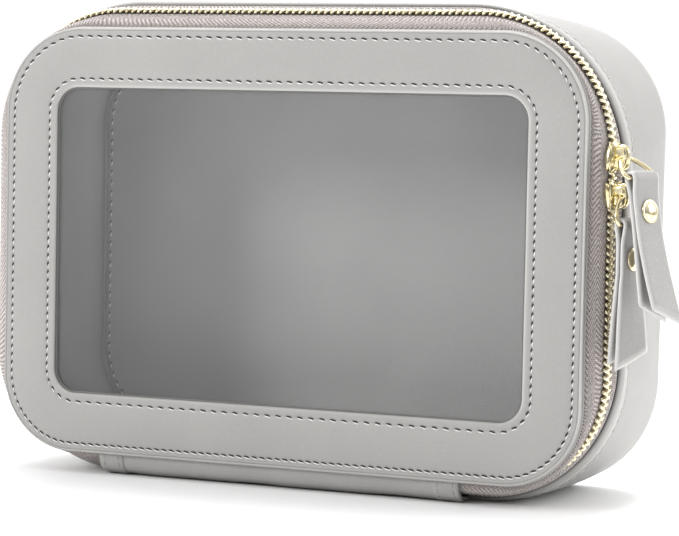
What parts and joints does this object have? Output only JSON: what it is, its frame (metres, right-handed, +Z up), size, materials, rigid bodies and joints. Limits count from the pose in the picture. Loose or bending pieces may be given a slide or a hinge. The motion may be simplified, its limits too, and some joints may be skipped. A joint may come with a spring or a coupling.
{
  "type": "makeup train case",
  "caption": "Soft rounded vanity case with a clear window in its stiffened front lid, zipped around three sides and hinged along the bottom edge.",
  "frame": {"origin": "centre of the underside, on the surface that the case stands on", "axes": "+X to the right seen from the front, -Y out of the window side, +Z up"},
  "size_m": [0.2571, 0.0753, 0.1663],
  "materials": {
    "grey_leather": "smooth matt coated leather",
    "pull_leather": "fine grained coated leather with a soft sheen",
    "lining_cloth": "plain close-woven lining",
    "stiffener_board": "uncoated board",
    "clear_vinyl": "clear flexible vinyl",
    "zip_tape": "herringbone woven tape",
    "gold_coil": "pale gold plated zip elements",
    "gold_metal": "polished pale gold plate",
    "rivet_metal": "polished pale gold plate"
  },
  "bodies": {
    "case": {"rear_coil": "gold_coil", "rear_tape": "zip_tape", "rim_bead": "grey_leather", "gusset": "grey_leather", "gusset_board": "stiffener_board", "gusset_lining": "lining_cloth", "back_panel": "grey_leather", "back_board": "stiffener_board", "back_lining": "lining_cloth", "hinge_leaf_case": "grey_leather", "hinge_facing": "lining_cloth", "zip_tab_left": "grey_leather", "zip_tab_right": "grey_leather"},
    "lid": {"front_panel": "grey_leather", "window_sheet": "clear_vinyl", "lid_board": "stiffener_board", "lid_lining": "lining_cloth", "panel_welt": "grey_leather", "front_tape": "zip_tape", "front_coil": "gold_coil", "hinge_leaf_lid": "grey_leather"},
    "upper_slider": {"upper_slider_body": "gold_metal", "upper_slider_bridge": "gold_metal"},
    "upper_link": {"upper_link": "gold_metal"},
    "upper_pull": {"upper_pull_strap": "pull_leather", "upper_rivet_cap": "rivet_metal", "upper_rivet_base": "rivet_metal"},
    "lower_slider": {"lower_slider_body": "gold_metal", "lower_slider_bridge": "gold_metal"},
    "lower_link": {"lower_link": "gold_metal"},
    "lower_pull": {"lower_pull_strap": "pull_leather", "lower_rivet_cap": "rivet_metal", "lower_rivet_base": "rivet_metal"}
  },
  "joints": [
    {"name": "lid_hinge", "type": "hinge", "parent": "case", "child": "lid", "pos_m": [0, -0.0315, 0.0043], "axis": [1, 0, 0], "range_deg": [0, 90]},
    {"name": "upper_slider_turn", "type": "hinge", "parent": "case", "child": "upper_slider", "pos_m": [0.0676, -0.0272, 0.1163], "axis": [0, -1, 0], "range_deg": [0, 90]},
    {"name": "lower_slider_slide", "type": "slide", "parent": "case", "child": "lower_slider", "axis": [0, 0, -1], "range_m": [0, 0.042]},
    {"name": "lower_link_swing", "type": "hinge", "parent": "lower_slider", "child": "lower_link", "pos_m": [0.11825, -0.0272, 0.1039], "axis": [-0.2079, -0.9781, 0], "range_deg": [0, 80]},
    {"name": "lower_pull_swing", "type": "hinge", "parent": "lower_link", "child": "lower_pull", "pos_m": [0.1205, -0.02768, 0.09468], "axis": [-0.2079, -0.9781, 0], "range_deg": [0, 50]},
    {"name": "upper_link_swing", "type": "hinge", "parent": "upper_slider", "child": "upper_link", "pos_m": [0.11825, -0.0272, 0.1163], "axis": [-0.3584, -0.9336, 0], "range_deg": [0, 80]},
    {"name": "upper_pull_swing", "type": "hinge", "parent": "upper_link", "child": "upper_pull", "pos_m": [0.12484, -0.02973, 0.10994], "axis": [-0.3584, -0.9336, 0], "range_deg": [0, 50]}
  ],
  "couplings": [
    {"joint": "upper_link_swing", "follows": "lower_link_swing", "ratio": 1},
    {"joint": "upper_pull_swing", "follows": "lower_pull_swing", "ratio": 1}
  ]
}
